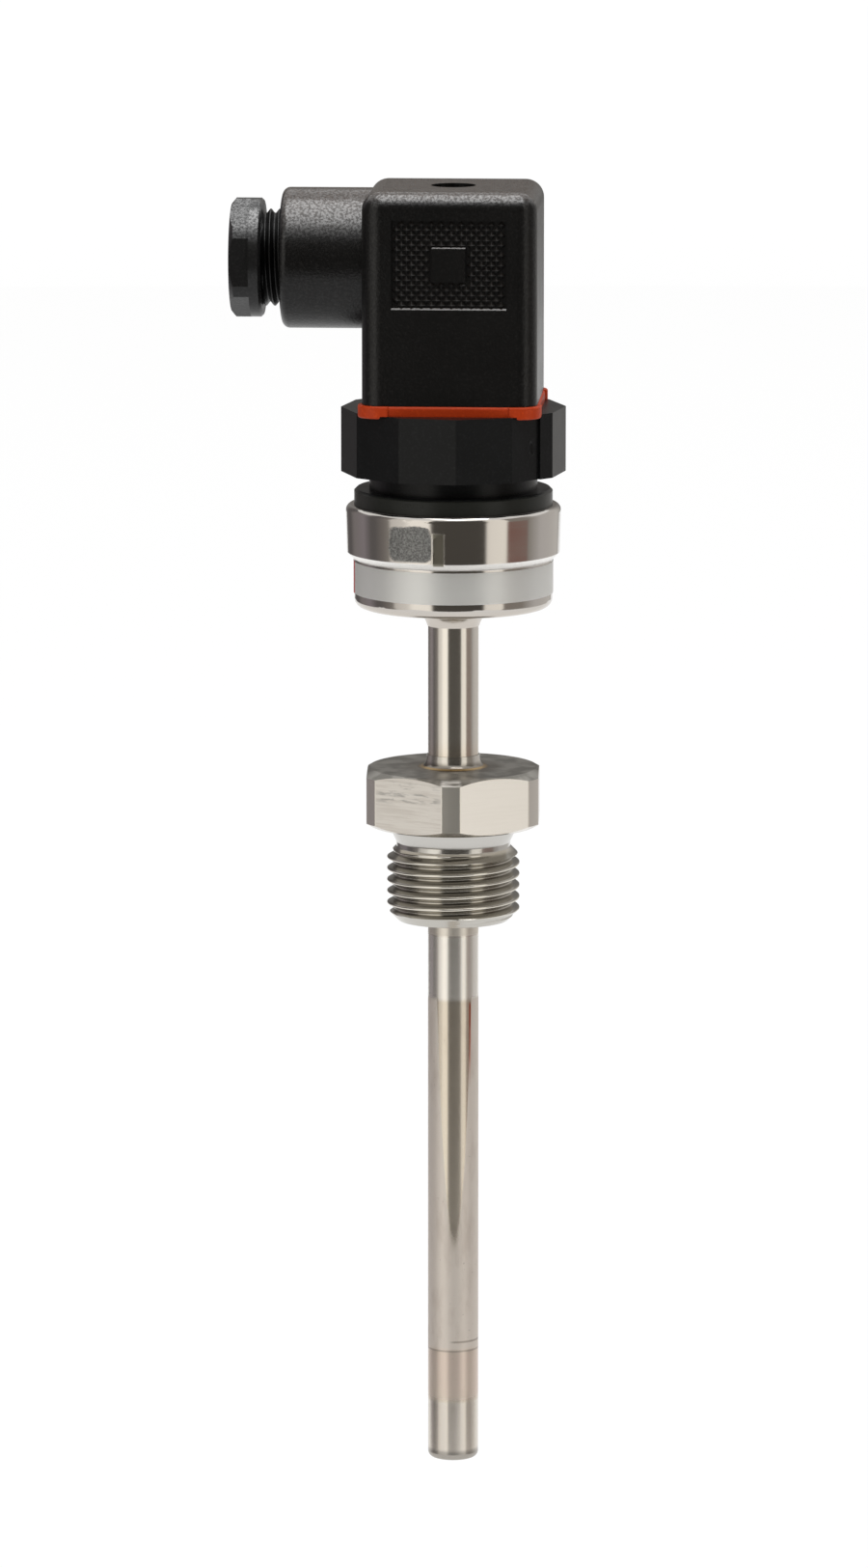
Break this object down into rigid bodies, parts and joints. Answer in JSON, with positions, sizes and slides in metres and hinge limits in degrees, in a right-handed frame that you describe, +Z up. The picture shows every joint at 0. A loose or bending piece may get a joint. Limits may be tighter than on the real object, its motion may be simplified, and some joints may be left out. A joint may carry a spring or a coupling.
{
  "type": "screw-in resistance temperature sensor with plug head",
  "caption": "Screw-in temperature probe: thin steel tube with welded hexagon fitting, crimped steel cup, black connector base and a square right-angle cable plug.",
  "frame": {"origin": "on the tube's axis in the plane of the hexagon's underside, which seals on the vessel", "axes": "+Z up along the tube's axis towards the plug, -X along the cable gland, -Y out of the plug's front"},
  "size_m": [0.0523, 0.0352, 0.2035],
  "materials": {
    "tube_steel": "drawn stainless tube, satin, faint heat tint",
    "fitting_steel": "turned and milled stainless",
    "cup_steel": "polished stainless",
    "label_foil": "silver foil, semi-gloss, no print",
    "base_plastic": "moulded, satin",
    "plug_plastic": "moulded, fine spark-eroded grain",
    "gland_plastic": "moulded, satin",
    "carrier_plastic": "moulded",
    "orange_rubber": "moulded silicone rubber",
    "black_rubber": "moulded rubber",
    "brass": "turned",
    "tinned_brass": "tinned",
    "screw_steel": "zinc plated",
    "board": "glass fibre laminate with solder mask",
    "chip_plastic": "moulded",
    "element_ceramic": "sintered",
    "lead_insulation": "extruded fluoropolymer"
  },
  "bodies": {
    "probe": {"protection_tube": "tube_steel", "neck_tube": "tube_steel", "tip_plug": "tube_steel", "sensing_element": "element_ceramic", "sensor_leads": "lead_insulation", "insulating_sleeve": "lead_insulation", "process_fitting": "fitting_steel", "head_housing": "cup_steel", "name_label": "label_foil", "head_seal": "black_rubber", "connector_base": "base_plastic", "screw_insert": "brass", "contact_pin_1": "tinned_brass", "contact_pin_2": "tinned_brass", "contact_pin_3": "tinned_brass", "earth_pin": "tinned_brass", "transmitter_board": "board", "converter_chip": "chip_plastic", "board_capacitors": "element_ceramic"},
    "plug": {"profile_gasket": "orange_rubber", "plug_housing": "plug_plastic", "contact_carrier": "carrier_plastic", "socket_contact_1": "brass", "socket_contact_2": "brass", "socket_contact_3": "brass", "earth_socket": "brass", "terminal_screws": "screw_steel", "gland_seal": "black_rubber"},
    "screw_ring": {"screw_seal_ring": "black_rubber"},
    "plug_screw": {"fixing_screw": "screw_steel"},
    "gland_ring": {"gland_washer": "carrier_plastic"},
    "gland_nut": {"gland_screw": "gland_plastic"}
  },
  "joints": [
    {"name": "plug_pull", "type": "slide", "parent": "probe", "child": "plug", "axis": [0, 0, 1], "range_m": [0, 0.02]},
    {"name": "screw_lift", "type": "slide", "parent": "plug", "child": "screw_ring", "axis": [0, 0, 1], "range_m": [0, 0.005]},
    {"name": "fixing_screw_turn", "type": "hinge", "parent": "screw_ring", "child": "plug_screw", "pos_m": [0, 0, 0.0934], "axis": [0, 0, 1], "range_deg": [0, 3600]},
    {"name": "gland_travel", "type": "slide", "parent": "plug", "child": "gland_ring", "axis": [-1, 0, 0], "range_m": [-0.00282, 0.00423]},
    {"name": "gland_screw_turn", "type": "hinge", "parent": "gland_ring", "child": "gland_nut", "pos_m": [-0.03, 0, 0.08955], "axis": [-1, 0, 0], "range_deg": [-720, 1080]}
  ],
  "couplings": [
    {"joint": "fixing_screw_turn", "follows": "screw_lift", "rad_per_m": 12566},
    {"joint": "gland_screw_turn", "follows": "gland_travel", "rad_per_m": 4453}
  ]
}
